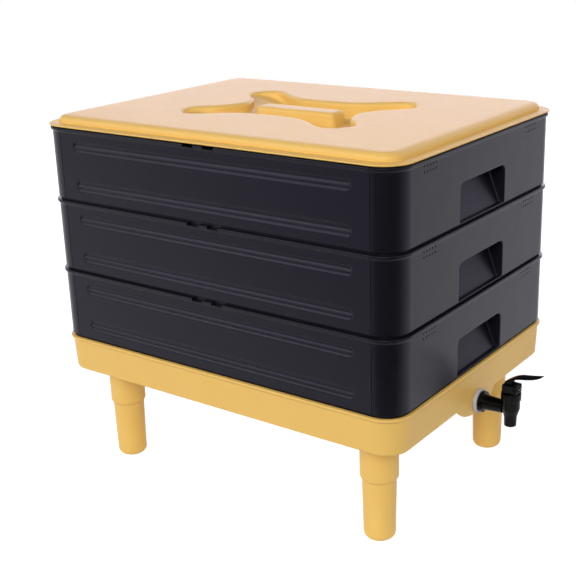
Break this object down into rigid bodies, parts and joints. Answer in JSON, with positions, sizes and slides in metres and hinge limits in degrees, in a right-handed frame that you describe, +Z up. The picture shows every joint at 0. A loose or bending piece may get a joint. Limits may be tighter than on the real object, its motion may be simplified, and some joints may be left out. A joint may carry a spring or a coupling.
{
  "type": "worm composter",
  "caption": "Rectangular worm composter: grooved black trays stacked on a yellow base with legs and a push tap, under a yellow lid with a recessed grip.",
  "frame": {"origin": "under the middle of the bounding box, on the floor", "axes": "+X along the long side to the tap end, +Y to the back, +Z up"},
  "size_m": [0.582, 0.381, 0.4572],
  "materials": {
    "yellow_plastic": "satin moulded",
    "black_plastic": "satin moulded",
    "tap_plastic": "gloss moulded",
    "grey_rubber": "matte",
    "silicone_rubber": "matte",
    "spring_steel": "drawn wire"
  },
  "bodies": {
    "stand": {"base_tray": "yellow_plastic", "leg_front_left": "yellow_plastic", "leg_front_right": "yellow_plastic", "leg_back_left": "yellow_plastic", "leg_back_right": "yellow_plastic", "tap_body": "tap_plastic", "tap_outer_washer": "grey_rubber", "tap_inner_washer": "grey_rubber", "tap_nut": "tap_plastic", "tap_bonnet": "tap_plastic", "tap_pin": "spring_steel", "tap_spring": "spring_steel"},
    "bottom_tray": {"bottom_tray_front_panel": "black_plastic", "bottom_tray_back_panel": "black_plastic", "bottom_tray_right_end": "black_plastic", "bottom_tray_left_end": "black_plastic", "bottom_tray_floor": "black_plastic"},
    "middle_tray": {"middle_tray_front_panel": "black_plastic", "middle_tray_back_panel": "black_plastic", "middle_tray_right_end": "black_plastic", "middle_tray_left_end": "black_plastic", "middle_tray_floor": "black_plastic"},
    "top_tray": {"top_tray_front_panel": "black_plastic", "top_tray_back_panel": "black_plastic", "top_tray_right_end": "black_plastic", "top_tray_left_end": "black_plastic", "top_tray_floor": "black_plastic"},
    "lid": {"lid": "yellow_plastic"},
    "lever": {"tap_lever": "tap_plastic"},
    "plunger": {"tap_stem": "tap_plastic", "tap_seat_cup": "silicone_rubber"}
  },
  "joints": [
    {"name": "bottom_tray_lift", "type": "slide", "parent": "stand", "child": "bottom_tray", "axis": [0, 0, 1], "range_m": [0, 0.12]},
    {"name": "middle_tray_lift", "type": "slide", "parent": "bottom_tray", "child": "middle_tray", "axis": [0, 0, 1], "range_m": [0, 0.12]},
    {"name": "top_tray_lift", "type": "slide", "parent": "middle_tray", "child": "top_tray", "axis": [0, 0, 1], "range_m": [0, 0.12]},
    {"name": "lid_lift", "type": "slide", "parent": "top_tray", "child": "lid", "axis": [0, 0, 1], "range_m": [0, 0.15]},
    {"name": "lever_press", "type": "hinge", "parent": "stand", "child": "lever", "pos_m": [0.25905, 0, 0.157], "axis": [0, 1, 0], "range_deg": [0, 25], "stiffness_Nm_per_rad": 0.05, "springref_deg": -17.19},
    {"name": "plunger_rise", "type": "slide", "parent": "stand", "child": "plunger", "axis": [0, 0, 1], "range_m": [0, 0.0035], "deforming": ["tap_spring"]}
  ],
  "couplings": [
    {"joint": "plunger_rise", "follows": "lever_press", "m_per_rad": 0.0076}
  ]
}
